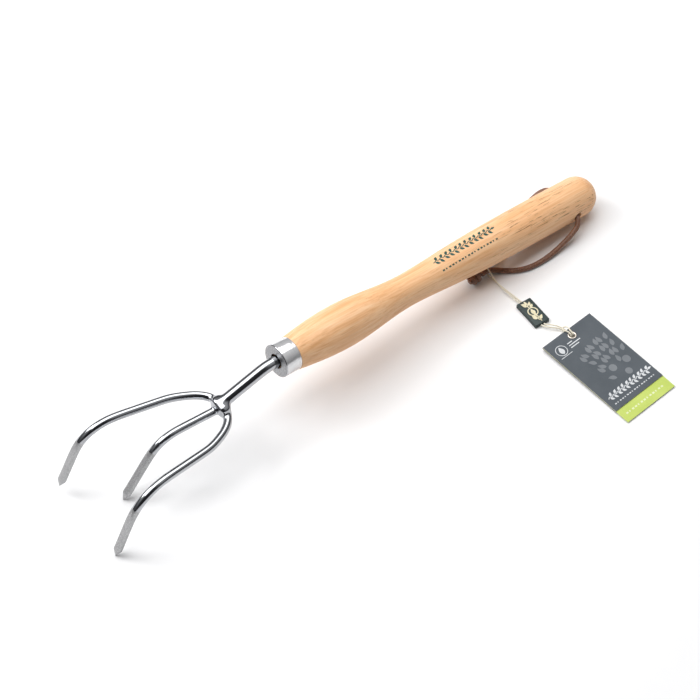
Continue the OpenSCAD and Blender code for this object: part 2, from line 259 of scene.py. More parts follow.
def wood():
    m = Shader("beech")
    along = m.node("ShaderNodeSeparateXYZ", {"Vector": m.place()}).outputs["X"]
    broad = m.noise((0.012, 0.07, 0.07), detail=3, distortion=0.4)
    band = m.noise((0.012, 0.35, 0.35), shift=(3, 0, 0), detail=4, roughness=0.6, distortion=0.6)
    fibre = m.noise((0.03, 0.95, 0.95), detail=4, roughness=0.65)
    tone = m.plus(m.times(broad, 0.45), m.times(band, 0.55))
    base = m.ramp(tone, [(0.33, (0.77, 0.385, 0.165)), (0.47, (0.90, 0.515, 0.262)),
                         (0.62, (0.96, 0.615, 0.355))])
    base = m.mix(m.steps(fibre, 0.45, 0.68, (0, 0.42)), base, (0.68, 0.31, 0.125))
    base = m.mix(m.steps(fibre, 0.46, 0.30, (0, 0.30)), base, (0.97, 0.70, 0.42))
    pores = m.noise((0.085, 1.7, 1.7), shift=(0, 5, 0), detail=2, roughness=0.5)
    patches = m.noise((0.016, 0.14, 0.14), shift=(7, 2, 0), detail=2)
    near_butt = m.steps(along, 110, 235, (0.25, 1.0))
    where = m.times(m.steps(patches, 0.40, 0.58, (0.10, 1.0)), near_butt)
    fleck = m.times(m.steps(pores, 0.585, 0.66), where)
    base = m.mix(m.times(fleck, 0.85), base, (0.33, 0.13, 0.045))
    m.surface(base, m.steps(fibre, 0.3, 0.8, (0.38, 0.52)), Coat_Weight=0.06, Coat_Roughness=0.35,
              Specular_IOR_Level=0.3)
    m.bump(m.math("SUBTRACT", fibre, m.times(fleck, 0.9)), 0.06, 0.7)
    return m.material


def polished_steel():
    """Polished bar, and a matt ground finish where the attribute "ground" is 1."""
    m = Shader("polished_steel")
    ground = m.attribute("ground")
    long_scratch = m.noise((0.25, 6, 6), detail=3)
    grain = m.noise(3.2, detail=6, roughness=0.75)
    ripple = m.noise(0.25, detail=1)
    edge = m.noise(0.7, detail=3)
    worn = m.steps(m.plus(ground, m.times(m.math("SUBTRACT", edge, 0.5), 0.35)), 0.42, 0.58)
    shine = m.mix(m.steps(long_scratch, 0.35, 0.75, (0.0, 0.3)), (0.46, 0.47, 0.49), (0.37, 0.38, 0.40))
    speck = m.noise(1.3, detail=3, roughness=0.7)
    mixed = m.plus(m.times(grain, 0.5), m.times(speck, 0.5))
    matt = m.ramp(mixed, [(0.36, (0.20, 0.20, 0.205)), (0.5, (0.42, 0.42, 0.425)),
                          (0.64, (0.68, 0.68, 0.685))])
    smooth = m.steps(long_scratch, 0.3, 0.8, (0.06, 0.13))
    m.surface(m.mix(worn, shine, matt), m.plus(m.times(worn, 0.38), smooth), 1.0)
    rough_grain = m.times(m.times(grain, worn), 0.6)
    m.bump(m.plus(m.times(ripple, 0.35), rough_grain), 0.06, 0.8)
    return m.material


def ferrule_side():
    m = Shader("ferrule_side")
    turned = m.noise((5, 0.15, 0.15), detail=3)
    cloud = m.noise(0.22, detail=1)
    m.surface(m.ramp(turned, [(0.3, (0.70, 0.70, 0.71)), (0.7, (0.84, 0.84, 0.85))]),
              m.steps(turned, 0.3, 0.8, (0.10, 0.20)), 0.62)
    m.bump(m.plus(m.times(turned, 0.2), m.times(cloud, 5.0)), 0.05, 0.8)
    return m.material


def ferrule_face():
    m = Shader("ferrule_face")
    grain = m.noise(1.5, detail=5, roughness=0.75)
    m.surface(m.ramp(grain, [(0.36, (0.14, 0.14, 0.145)), (0.5, (0.34, 0.34, 0.35)),
                             (0.64, (0.62, 0.62, 0.63))]), 0.42, 1.0)
    m.bump(grain, 0.12, 0.8)
    return m.material


def painted_shade_inside():
    # Painted shade: the mouth's bore and the inner walls are near black with a faint mottle, in place of the shade
    # in the gap round the neck
    m = Shader("ferrule_inside_painted_shade")
    shade_mottle = m.noise(1.5, detail=4)
    m.surface(m.ramp(shade_mottle, [(0.3, (0.02, 0.02, 0.022)), (0.7, (0.07, 0.065, 0.06))]), 0.6, 0.7)
    return m.material


def leather():
    m = Shader("thong_leather")
    wrap = m.noise(0.9, detail=5, roughness=0.65)
    crease = m.noise((0.35, 2.2, 2.2), rotate=(0, 0, 0.6), detail=4, roughness=0.7)
    worn = m.steps(wrap, 0.48, 0.78, (0, 0.75))
    base = m.mix(m.steps(crease, 0.35, 0.7), (0.115, 0.045, 0.022), (0.25, 0.11, 0.058))
    m.surface(m.mix(worn, base, (0.50, 0.26, 0.155)), m.steps(crease, 0.3, 0.7, (0.34, 0.52)),
              Coat_Weight=0.15, Coat_Roughness=0.4)
    m.bump(m.plus(crease, m.times(wrap, 0.6)), 0.16, 0.8)
    return m.material


def cotton():
    m = Shader("cream_string")
    fuzz = m.noise(6, detail=5, roughness=0.7)
    m.surface(m.ramp(fuzz, [(0.3, (0.66, 0.59, 0.42)), (0.6, (0.90, 0.86, 0.74))]), 0.85, Sheen_Weight=0.3)
    m.bump(fuzz, 0.06, 0.7)
    return m.material


def moulded(name, low, high, roughness=0.38, own=True):
    m = Shader(name, own)
    cloud = m.noise(0.8, detail=4)
    fine = m.noise(7, detail=3)
    m.surface(m.mix(m.steps(cloud, 0.3, 0.7), low, high),
              m.steps(fine, 0.3, 0.7, (roughness, roughness + 0.12)))
    m.bump(fine, 0.02, 0.5)
    return m.material


def card(name, low, high, roughness=0.62):
    m = Shader(name)
    fibre = m.noise((1.6, 0.7, 1.6), detail=6, roughness=0.75)
    cloud = m.noise(0.05, detail=3)
    tone = m.plus(m.times(fibre, 0.45), m.times(cloud, 0.55))
    m.surface(m.mix(m.steps(tone, 0.35, 0.65), low, high),
              m.steps(fibre, 0.3, 0.7, (roughness, roughness + 0.1)), Specular_IOR_Level=0.35)
    m.bump(fibre, 0.02, 0.6)
    return m.material


def bright_metal():
    m = Shader("eyelet_metal")
    fine = m.noise(3, detail=4)
    m.surface(m.ramp(fine, [(0.3, (0.46, 0.41, 0.36)), (0.7, (0.72, 0.67, 0.60))]),
              m.steps(fine, 0.3, 0.7, (0.2, 0.34)), 1.0)
    m.bump(fine, 0.02, 0.5)
    return m.material


# ---------------- meshes

def unit(v):
    return v / np.linalg.norm(v)


def smooth_route(route, steps):
    """A smooth curve through a route's points that keeps its shape where their spacing changes."""
    p = [np.array(q, float) for q in route]
    p = [2 * p[0] - p[1]] + p + [2 * p[-1] - p[-2]]
    out = []
    for a, b, c, d in zip(p, p[1:], p[2:], p[3:]):
        t0, t1, t2, t3 = np.cumsum([0] + [np.linalg.norm(v) ** 0.5 for v in (b - a, c - b, d - c)])
        for t in t1 + (t2 - t1) * np.arange(steps) / steps:
            ab = ((t1 - t) * a + (t - t0) * b) / (t1 - t0)
            bc = ((t2 - t) * b + (t - t1) * c) / (t2 - t1)
            cd = ((t3 - t) * c + (t - t2) * d) / (t3 - t2)
            abc = ((t2 - t) * ab + (t - t0) * bc) / (t2 - t0)
            bcd = ((t3 - t) * bc + (t - t1) * cd) / (t3 - t1)
            out.append(((t2 - t) * abc + (t - t1) * bcd) / (t2 - t1))
    return np.array(out + [p[-2]])


def corner_arc(a, b, c, radius, steps):
    """Points of the arc of a radius that rounds the corner at b."""
    u, w = unit(b - a), unit(c - b)
    turn = math.acos(u @ w)
    n = unit(w - u * (u @ w))
    centre = b - u * radius * math.tan(turn / 2) + n * radius
    return [centre + radius * (math.sin(t) * u - math.cos(t) * n) for t in np.linspace(0, turn, steps + 1)]


def rounded_route(route, radii, steps):
    """A line through a route's points with an arc at each corner."""
    p = [np.array(q, float) for q in route]
    out = [p[0]]
    for i in range(1, len(p) - 1):
        out += corner_arc(p[i - 1], p[i], p[i + 1], radii[i], steps)
    return np.array(out + [p[-1]])


def spaced(path, step):
    """The same line with points no further apart than step."""
    out = [path[0]]
    for a, b in zip(path, path[1:]):
        n = max(1, math.ceil(np.linalg.norm(b - a) / step))
        out += [a + (b - a) * k / n for k in range(1, n + 1)]
    return np.array(out)


def distances(path):
    return np.concatenate([[0], np.cumsum(np.linalg.norm(np.diff(path, axis=0), axis=1))])


def at_distance(path, s):
    """Points of a line at distances along it."""
    d = distances(path)
    return np.stack([np.interp(s, d, path[:, k]) for k in range(3)], 1)


def eased(path, step=0.8, passes=60):
    """The same line with its bends evened out, so that a polished bar shows no corners."""
    length = distances(path)[-1]
    p = at_distance(path, np.linspace(0, length, math.ceil(length / step) + 1))
    for _ in range(passes):
        p[1:-1] = 0.25 * p[:-2] + 0.5 * p[1:-1] + 0.25 * p[2:]
    return p


def frames_along(path, first):
    """Two directions across the path at each point, carried along without twist."""
    along = np.array([unit(path[min(i + 1, len(path) - 1)] - path[max(i - 1, 0)]) for i in range(len(path))])
    side, n = [], np.array(first, float)
    for t in along:
        n = unit(n - t * (n @ t))
        side.append(n)
    side = np.array(side)
    return side, np.cross(along, side)


def swept(path, outlines, first=(0.3, 0.2, 1)):
    """Vertices and faces of a skin through one outline at each point of a path."""
    side, up = frames_along(path, first)
    sides = len(outlines[0])
    verts = np.concatenate([path[i] + np.outer(q[:, 0], side[i]) + np.outer(q[:, 1], up[i])
                            for i, q in enumerate(outlines)])
    last = (len(path) - 1) * sides
    faces = [(a + k, a + (k + 1) % sides, a + sides + (k + 1) % sides, a + sides + k)
             for a in range(0, last, sides) for k in range(sides)]
    faces.append(tuple(reversed(range(sides))))
    faces.append(tuple(last + k for k in range(sides)))
    return verts, faces


def ring(r, sides):
    a = np.linspace(0, 2 * math.pi, sides, endpoint=False)
    return np.stack([r * np.cos(a), r * np.sin(a)], 1)


def flat_ring(r, half, sides):
    """A round outline cut flat on two sides."""
    q = ring(r, sides)
    q[:, 1] = np.clip(q[:, 1], -half, half)
    return q


def turned(profile, sides=96, closed=False):
    """A shape turned about X from (x, radius) points; points on the axis make poles."""
    verts, rows = [], []
    for x, r in profile:
        if r <= 1e-6:
            rows.append([len(verts)] * sides)
            verts.append((x, 0, 0))
        else:
            rows.append([len(verts) + k for k in range(sides)])
            verts += [(x, r * math.cos(2 * math.pi * k / sides), r * math.sin(2 * math.pi * k / sides))
                      for k in range(sides)]
    faces = []
    pairs = list(zip(rows, rows[1:])) + ([(rows[-1], rows[0])] if closed else [])
    for a, b in pairs:
        for k in range(sides):
            j = (k + 1) % sides
            f = [a[k], a[j], b[j], b[k]]
            f = [v for i, v in enumerate(f) if v not in f[:i]]
            if len(f) > 2:
                faces.append(tuple(f))
    return np.array(verts, float), faces


def upright(profile, sides, closed=False):
    """A shape turned about Z from (z, radius) points."""
    verts, faces = turned(profile, sides, closed)
    return verts[:, [1, 2, 0]], faces


def joined(parts):
    """Several shapes as one list of vertices and faces."""
    verts, faces, n = [], [], 0
    for v, f in parts:
        verts.append(v)
        faces += [tuple(i + n for i in q) for q in f]
        n += len(v)
    return np.concatenate(verts), faces


def edit_mesh(mesh, change):
    """Makes one change to a mesh through bmesh."""
    bm = bmesh.new()
    bm.from_mesh(mesh)
    change(bm)
    bm.to_mesh(mesh)
    bm.free()


def new_object(name, verts, faces, place):
    """An object from vertices in millimetres, at a placing, with its faces turned outwards."""
    mesh = bpy.data.meshes.new(name)
    corners = [tuple(v) for v in np.asarray(verts) * MM]
    mesh.from_pydata(corners, [], [tuple(int(i) for i in f) for f in faces])
    mesh.validate()
    obj = bpy.data.objects.new(name, mesh)
    bpy.context.collection.objects.link(obj)
    obj.matrix_world = place
    edit_mesh(mesh, lambda bm: bmesh.ops.recalc_face_normals(bm, faces=bm.faces))
    return obj


def soften(obj, sharp_deg):
    """Smooth shading, with edges sharper than an angle kept crisp."""
    def change(bm):
        for f in bm.faces:
            f.smooth = True
        for e in bm.edges:
            e.smooth = len(e.link_faces) == 2 and e.calc_face_angle(0) < math.radians(sharp_deg)

    edit_mesh(obj.data, change)


def cut_with(obj, tools):
    """Cuts other objects out of a piece and removes them."""
    bpy.context.view_layer.update()
    for tool in tools:
        b = obj.modifiers.new("cut", "BOOLEAN")
        b.operation, b.solver, b.object = "DIFFERENCE", "EXACT", tool
    dg = bpy.context.evaluated_depsgraph_get()
    mesh = bpy.data.meshes.new_from_object(obj.evaluated_get(dg))
    obj.modifiers.clear()
    old, obj.data = obj.data, mesh
    mesh.name = old.name
    for tool in tools:
        bpy.data.objects.remove(tool)


def settle(obj):
    """Moves the placing into the mesh, and keeps each vertex's own coordinates for the textures."""
    mesh = obj.data
    flat = np.empty(len(mesh.vertices) * 3, np.float32)
    mesh.vertices.foreach_get("co", flat)
    mesh.attributes.new("at", "FLOAT_VECTOR", "POINT").data.foreach_set("vector", flat)
    mesh.transform(obj.matrix_world)
    obj.matrix_world = Matrix.Identity(4)


def finish_piece(obj, body, materials, nodes=(), pick=None, sharp_deg=32):
    """Shades a piece, gives each face its material and hands the piece to the frame."""
    soften(obj, sharp_deg)
    obj.data.materials.clear()
    for m in materials:
        obj.data.materials.append(MATERIALS[m])
    if pick:
        for p in obj.data.polygons:
            p.material_index = pick(p.center / MM, p.normal)
    settle(obj)
    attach(obj, body)
    if nodes:
        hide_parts(*nodes)


def give_ground(obj, value):
    """The attribute "ground" on each vertex, from a function of its place."""
    a = obj.data.attributes.new("ground", "FLOAT", "POINT")
    a.data.foreach_set("value", [float(value(v.co / MM)) for v in obj.data.vertices])


# ---------------- cords

THONG_ROUTE = [
    (108.6, -4.4, 5), (112.6, -4.4, 5), (117, -5, 3.7), (122.4, -8.6, 2.4), (129, -14, 2),
    (137.4, -18.6, 2), (146, -20.7, 2), (155, -21.4, 2.4), (163.4, -21.3, 3.4), (172, -20.9, 5.3),
    (178.6, -20.5, 7.4), (183.2, -19.9, 9.3), (186.7, -19.1, 11), (189.2, -17.4, 13.1),
    (190.9, -14.8, 14.6), (191.5, -11.2, 15.3), (191.6, 0, 16.5), (191.8, 11.2, 17.6),
    (191.4, 14.4, 17.6), (190.3, 17, 16.9), (188.4, 18.9, 15.5), (185.6, 20.4, 13.4),
    (180.4, 21.8, 9.3), (174.4, 21.6, 5.6), (166.6, 18.6, 2.8), (156, 13.4, 2), (144.4, 7.8, 2),
    (132.6, 3.3, 2.5), (121.4, 0.8, 4.4), (112.6, 0.2, 6.4), (108.6, 0.2, 6.4)]
HANGER_ROUTE = [
    (113.4, -39.7, 1.6), (113.1, -32, 1.8), (112.9, -26, 1.9), (112.9, -21, 2.2), (113, -16, 2.9),
    (113.2, -11.4, 4.6), (113.3, -8, 6.8), (113.3, -5, 8.4), (113.3, -1.8, 9.2), (113.3, 1.3, 9),
    (113.3, 3.4, 7.4), (113.4, 4, 5.3), (113.5, 2.9, 3.3), (113.6, 0.4, 2), (113.8, -6.4, 1.1),
    (114, -11, 0.8), (114.2, -16, 0.7), (114.4, -21, 0.7), (114.7, -26, 0.8), (115, -32, 1.1),
    (115.3, -39.9, 1.6)]
TAG_STRING_ROUTE = [
    (111.7, -62.7, 1.6), (112, -65, 2.3), (113.9, -68.3, 3), (118.6, -73.2, 2.4),
    (120.1, -75.4, 1.3), (120.1, -79.8, 0.6), (120, -81.9, 0.6), (120, -83.4, 1.4),
    (120, -84.1, 2.8), (120, -83.3, 4.3), (119.9, -81.6, 4.9), (119.5, -79.6, 4.8),
    (118.9, -77.8, 4.4), (119.2, -76.1, 4), (120.8, -75, 3.6), (122.4, -76.1, 4),
    (122.7, -77.8, 4.4), (122.1, -79.6, 4.8), (121.8, -81.6, 4.9), (121.6, -83.3, 4.3),
    (121.6, -84.1, 2.8), (121.6, -83.4, 1.4), (121.6, -81.9, 0.6), (121.6, -79.8, 0.6),
    (121.5, -75.4, 1.3), (119.9, -72.4, 2.4), (115.9, -67.2, 3), (114.2, -64.9, 2.3),
    (114, -63, 1.6)]


STRING_LAY = 2.3    # the length along the string in which its two plies turn once


def make_thong():
    path = smooth_route(THONG_ROUTE, 8)
    outlines = [ring(THONG_D / 2 * (0.985 + 0.015 * math.sin(0.9 * i)), 20) for i in range(len(path))]
    obj = new_object("lanyard_thong_leather", *swept(path, outlines), GROUND)
    finish_piece(obj, "loop", ["leather"], ["lanyard_thong"], sharp_deg=60)


def make_string(name, route, node):
    """A two-ply string: an outline with two lobes that turns as it goes along."""
    path = spaced(smooth_route(route, 6), 0.25)
    a = np.linspace(0, 2 * math.pi, 16, endpoint=False)
    outlines = []
    for walked in distances(path):
        lobes = np.abs(np.cos(a - 2 * math.pi * walked / STRING_LAY)) ** 0.7
        r = STRING_D / 2 * (0.72 + 0.28 * lobes)
        outlines.append(np.stack([r * np.cos(a), r * np.sin(a)], 1))
    obj = new_object(name, *swept(path, outlines), GROUND)
    finish_piece(obj, "tag_line", ["cotton"], [node], sharp_deg=80)


# ---------------- handle and ferrule

def handle_radius(x):
    """The handle's radius behind the ferrule: shoulder, palm swell, waist and grip."""
    shoulder = FERRULE_D / 2 + 0.2
    if x < BELLY_X:
        t = (x - FERRULE_LEN) / (BELLY_X - FERRULE_LEN)
        return shoulder + (BELLY_D / 2 - shoulder) * math.sin(math.pi / 2 * t)
    if x < WAIST_X:
        t = (x - BELLY_X) / (WAIST_X - BELLY_X)
        return BELLY_D / 2 - (BELLY_D - WAIST_D) / 4 * (1 - math.cos(math.pi * t))
    return BUTT_D / 2 - (BUTT_D - WAIST_D) / 2 * math.exp(-((x - WAIST_X) / GRIP_SPAN) ** 1.7)


def make_handle():
    centre = HANDLE_LEN - BUTT_D / 2
    nose_r = FERRULE_D / 2 - FERRULE_WALL
    shoulder, edge = handle_radius(FERRULE_LEN), 0.3
    profile = [(NOSE_X, 0), (NOSE_X, nose_r - 0.4), (NOSE_X + 0.4, nose_r - 0.02),
               (FERRULE_LEN, nose_r - 0.02), (FERRULE_LEN, shoulder - edge)]
    profile += [(FERRULE_LEN + edge * (1 - math.cos(a)), shoulder - edge * (1 - math.sin(a)))
                for a in np.linspace(0.3, math.pi / 2, 4)]
    profile += [(x, handle_radius(x)) for x in np.linspace(FERRULE_LEN + 1, centre, 150)]
    end_r = handle_radius(centre)
    profile += [(centre + end_r * math.sin(a), end_r * math.cos(a))
                for a in np.linspace(0, math.pi / 2, 25)[1:-1]]
    profile.append((centre + end_r, 0))
    obj = new_object("handle_wood", *turned(profile, 128), TOOL)
    hole_r = HOLE_D / 2
    flare = [(-25, hole_r + 1.6), (-15.2, hole_r + 0.5), (-14.4, hole_r + 0.12), (-13.6, hole_r)]
    bore = flare + [(-x, r) for x, r in reversed(flare)]
    verts, faces = turned([(-25, 0)] + bore + [(25, 0)], 40)
    verts = np.stack([HANDLE_LEN - HOLE_FROM_BUTT - verts[:, 1], verts[:, 0], verts[:, 2]], 1)
    drill = new_object("drill", verts, faces, TOOL)
    tang_hole = [(NOSE_X - 1, 0), (NOSE_X - 1, TANG_HOLE_R), (TANG_HOLE_END, TANG_HOLE_R), (TANG_HOLE_END, 0)]
    tang = new_object("tang_drill", *turned(tang_hole, 32), TOOL)
    cut_with(obj, [drill, tang])
    finish_piece(obj, "tool", ["wood"], ["handle"], sharp_deg=40)


def make_ferrule():
    """The steel cap, with rounded edges and one punch mark on its side."""
    r, mouth, inner = FERRULE_D / 2, MOUTH_D / 2, FERRULE_D / 2 - FERRULE_WALL
    mouth_edge, front_edge, back_edge = 0.35, 0.6, 0.3
    punch_turn, punch_r, punch_back, punch_out = 152, 1.0, 3, 0.5
    turn = np.linspace(0, math.pi / 2, 6)
    profile = [(mouth_edge * (1 - math.sin(a)), mouth + mouth_edge * (1 - math.cos(a))) for a in turn]
    profile += [(front_edge * (1 - math.cos(a)), r - front_edge * (1 - math.sin(a))) for a in turn]
    profile += [(FERRULE_LEN - back_edge * (1 - math.sin(a)), r - back_edge * (1 - math.cos(a)))
                for a in turn]
    profile += [(FERRULE_LEN, inner), (FRONT_WALL, inner), (FRONT_WALL, mouth)]
    obj = new_object("ferrule_cap", *turned(profile, 128, closed=True), TOOL)
    mark = Vector((FERRULE_LEN - punch_back, 0, r + punch_out))
    mark = Matrix.Rotation(math.radians(punch_turn), 4, "X") @ mark
    bpy.ops.mesh.primitive_uv_sphere_add(segments=32, ring_count=16, radius=punch_r * MM,
                                         location=TOOL @ (mark * MM))
    cut_with(obj, [bpy.context.object])

    side, face, inside, edge = range(4)

    def pick(at, normal):
        radial = math.hypot(at.y, at.z)
        if radial < inner + 0.05 and at.x > 0.3:
            return inside
        if at.x > front_edge + 0.02:
            return side
        return face if normal.x < -0.8 and at.x < 0.15 else edge

    # the third material is the painted shade on the faces inside the mouth
    materials = ["ferrule_side", "ferrule_face", "dark", "steel"]
    finish_piece(obj, "tool", materials, ["ferrule"], pick)


# ---------------- steel head

def ahead(x, y, z):
    """A point in front of the ferrule, in the tool's own frame."""
    return np.array([-x, y, z], float)


PALM = ahead(JUNCTION_REACH, 0, -JUNCTION_DROP)
BOW_X, BOW_Z, ROOT_Z = JUNCTION_REACH - 1, -JUNCTION_DROP - 3.5, -JUNCTION_DROP - 4.7
LEFT_ROUTE = [
    ahead(OUTER_REACH, HALF_SPAN, -OUTER_DEPTH), ahead(OUTER_REACH - 15.3, HALF_SPAN - 1.2, BOW_Z + 6.9),
    ahead(BOW_X + 24.6, 22.9, BOW_Z + 1), ahead(BOW_X + 9.2, 16.7, BOW_Z), ahead(BOW_X, 9, BOW_Z),
    ahead(BOW_X, 0, BOW_Z)]
LEFT_RADII = [0, 26, 25, 12, 5, 0]
MIDDLE_ROUTE = [ahead(MIDDLE_REACH, 0, -MIDDLE_DEPTH),
                ahead(MIDDLE_REACH - 23.4, 0, ROOT_Z + 2.5),
                ahead(JUNCTION_REACH + 2, 0, ROOT_Z)]
MIDDLE_RADII = [0, 20, 0]
NECK_ROUTE = [(NOSE_X, 0, 0), ahead(8, 0, 0), PALM]
NECK_RADII = [0, 22, 0]
TINE_R = TINE_D / 2
FLAT_HALF = TINE_R - 0.5
BLUNT, BLUNT_HALF = 0.3, 0.22    # half the width and the thickness at a point's very end


def bow_line():
    """The outer bar's centre line from the left point round to the right one."""
    left = rounded_route(LEFT_ROUTE, LEFT_RADII, 20)
    return eased(np.concatenate([left, left[::-1][1:] * (1, -1, 1)]))


def middle_line():
    return eased(rounded_route(MIDDLE_ROUTE, MIDDLE_RADII, 20))


def neck_line():
    return eased(rounded_route(NECK_ROUTE, NECK_RADII, 24), passes=20)


def leg_outline(s, sides):
    """The bar's section at a distance from its point: sharpened, ground flat on two faces, then round."""
    if s < POINT_LEN:
        t = s / POINT_LEN
        half = BLUNT_HALF + (FLAT_HALF - BLUNT_HALF) * t ** 0.7
        return flat_ring(BLUNT + (TINE_R - BLUNT) * t, half, sides)
    t = min(max((s - GROUND_LEN) / 7, 0), 1)
    return flat_ring(TINE_R, FLAT_HALF + (TINE_R - FLAT_HALF) * t * t * (3 - 2 * t), sides)


def tine_bar(name, line, two_points, node):
    """A round bar with a ground leg and a sharpened point at its first end, or at both."""
    length = distances(line)[-1]
    point = [0, 0.12, POINT_LEN - 0.12, POINT_LEN + 0.12]
    body = [*np.arange(POINT_LEN + 1, GROUND_LEN, 1.6), *np.arange(GROUND_LEN, length / 2, 0.9)]
    s = np.array(point + body)
    rest = length - s[::-1] if two_points else np.arange(length / 2, length, 0.9)
    s = np.concatenate([s, rest])
    reach = [min(d, length - d) if two_points else d for d in s]
    path = at_distance(line, s)
    obj = new_object(name, *swept(path, [leg_outline(d, 56) for d in reach], (0, 1, 0)), TOOL)
    tips = [path[0], path[-1]] if two_points else [path[0]]
    give_ground(obj, ground_mask(tips))
    finish_piece(obj, "tool", ["steel"], [node], sharp_deg=24)


def ground_mask(tips):
    """1 on the ground length of a leg, 0 on the polished bar, from the distance to the nearest point."""
    def value(p):
        d = min(np.linalg.norm(np.array(p) - t) for t in tips)
        return 1 - min(max((d - GROUND_LEN - 6) / 5, 0), 1)
    return value


def make_tines():
    tine_bar("outer_tine_bar", bow_line(), True, "outer_tines")
    tine_bar("middle_tine_bar", middle_line(), False, "middle_tine")


def to_line(points, line):
    """Distance from each point to a polyline."""
    best = np.full(len(points), 1e9)
    for a, b in zip(line, line[1:]):
        ab = b - a
        t = np.clip((points - a) @ ab / (ab @ ab), 0, 1)
        best = np.minimum(best, np.linalg.norm(points - a - t[:, None] * ab, axis=1))
    return best


def merge(a, b, k):
    """Smooth union of two distance fields with a fillet of about k."""
    h = np.clip(0.5 + 0.5 * (b - a) / k, 0, 1)
    return b * (1 - h) + a * h - k * h * (1 - h)


def nets(field, low, high, cell):
    """A mesh of the field's zero surface on a grid, each vertex pulled onto the surface."""
    counts = np.ceil((np.array(high) - low) / cell).astype(int) + 1
    grid = np.stack(np.meshgrid(*[np.arange(c) for c in counts], indexing="ij"), -1)
    value = field(grid.reshape(-1, 3) * cell + low).reshape(counts)
    inside = value < 0
    shape = counts - 1
    total = np.zeros((*shape, 3))
    hits = np.zeros(shape)
    for c in np.ndindex(2, 2, 2):
        for axis in range(3):
            if c[axis]:
                continue
            d = [*c[:axis], 1, *c[axis + 1:]]
            a, b = (value[tuple(slice(k, k + n) for k, n in zip(corner, shape))] for corner in (c, d))
            cross = (a < 0) != (b < 0)
            p = np.zeros((*shape, 3)) + c
            p[..., axis] += np.where(cross, a / np.where(cross, a - b, 1), 0)
            total += p * cross[..., None]
            hits += cross
    used = hits > 0
    index = np.full(shape, -1)
    index[used] = np.arange(used.sum())
    base = np.stack(np.meshgrid(*[np.arange(c) for c in shape], indexing="ij"), -1)
    verts = (base[used] + total[used] / hits[used][:, None]) * cell + low
    faces = []
    for axis in range(3):
        u, v = (axis + 1) % 3, (axis + 2) % 3
        for cell_at in np.argwhere(np.diff(inside, axis=axis)):
            if not (0 < cell_at[u] < shape[u] and 0 < cell_at[v] < shape[v]):
                continue
            quad = []
            for du, dv in ((0, 0), (-1, 0), (-1, -1), (0, -1)):
                q = cell_at.copy()
                q[u] += du
                q[v] += dv
                quad.append(index[tuple(q)])
            faces.append(quad if inside[tuple(cell_at)] else quad[::-1])
    for _ in range(4):
        grad = np.stack([(field(verts + e) - field(verts - e)) / 0.02 for e in np.eye(3) * 0.01], 1)
        verts = verts - grad * (field(verts) / np.maximum((grad ** 2).sum(1), 0.05))[:, None]
    return verts, faces


def make_junction():
    """The polished Y where the neck flares into the outer bar and the middle tine springs from it."""
    pad_at = PALM + (-0.6, -0.8, -1.2)
    pad_r = np.array([4.6, 7.4, 4.9])
    centre, reach = PALM + (-1, 0, -3), 16.0
    neck, bow, middle = (line[np.linalg.norm(line - centre, axis=1) < reach + 4]
                         for line in (neck_line(), bow_line(), middle_line()))

    def field(p):
        """Distance to the joined bars, which sinks into them near the end of the reach."""
        pad = (np.linalg.norm((p - pad_at) / pad_r, ord=3, axis=1) - 1) * pad_r.min()
        body = merge(to_line(p, neck) - NECK_D / 2, to_line(p, bow) - TINE_R, 4.5)
        body = merge(body, pad, 2.0)
        body = merge(body, to_line(p, middle) - TINE_R, 1.3)
        from_centre = np.linalg.norm(p - centre, axis=1)
        sunk = np.clip((from_centre - reach + 5) / 4, 0, 1) ** 2
        return np.maximum(body - 0.03 + 0.5 * sunk, from_centre - reach)

    verts, faces = nets(field, centre - reach - 1, centre + reach + 1, 0.42)
    obj = new_object("welded_junction", verts, faces, TOOL)
    give_ground(obj, lambda p: 0)
    finish_piece(obj, "tool", ["steel"], ["weld_left", "weld_right"], sharp_deg=60)


def make_neck():
    """The neck's bar, from inside the ferrule to a domed end in the palm."""
    path = neck_line()
    v = unit(path[-1] - path[-2])
    dome = np.radians([20, 40, 60, 80])
    r = NECK_D / 2
    whole = np.concatenate([path, [PALM + v * r * math.sin(t) * 0.5 for t in dome]])
    outlines = [ring(r, 64) for _ in path] + [ring(r * math.cos(t), 64) for t in dome]
    obj = new_object("neck_bar", *swept(whole, outlines, (0, 1, 0)), TOOL)
    give_ground(obj, lambda p: 0)
    finish_piece(obj, "tool", ["steel"], ["neck_tang"], sharp_deg=50)


# ---------------- knot, seal and tag

KNOT_AT, KNOT_WRAP, KNOT_HALF, KNOT_TURNS, KNOT_START = np.array((103, -3, 6.1)), 3.8, 3.4, 1.85, 2.2


def make_knot():
    """The thong wound nearly twice round its own two strands, with both cut ends just showing."""
    turn = np.linspace(0, KNOT_TURNS * 2 * math.pi, 90)
    start, end = (np.clip(1 - t / 1.2, 0, 1) ** 2 for t in (turn, turn[-1] - turn))
    r, a = KNOT_WRAP * (1 - 0.4 * (start + end)), turn + KNOT_START
    along = KNOT_HALF * (2 * turn / turn[-1] - 1)
    wrap = KNOT_AT + np.stack([along, r * np.cos(a), r * np.sin(a)], 1)
    outline = ring(THONG_D / 2 - 0.1, 18)
    parts = [swept(wrap, [outline] * len(wrap), (1, 0, 0))]
    for y, tail in ((-1.5, -6.4), (1.6, -5.4)):
        core = smooth_route([KNOT_AT + (5.6, y * 0.8, 0.4), KNOT_AT + (2, y, 0), KNOT_AT + (-2, y, 0),
                             KNOT_AT + (tail, y * 1.3, -0.6)], 8)
        parts.append(swept(core, [outline] * len(core)))
    obj = new_object("lanyard_knot_leather", *joined(parts), GROUND)
    finish_piece(obj, "loop", ["leather"], ["lanyard_knot"], sharp_deg=70)


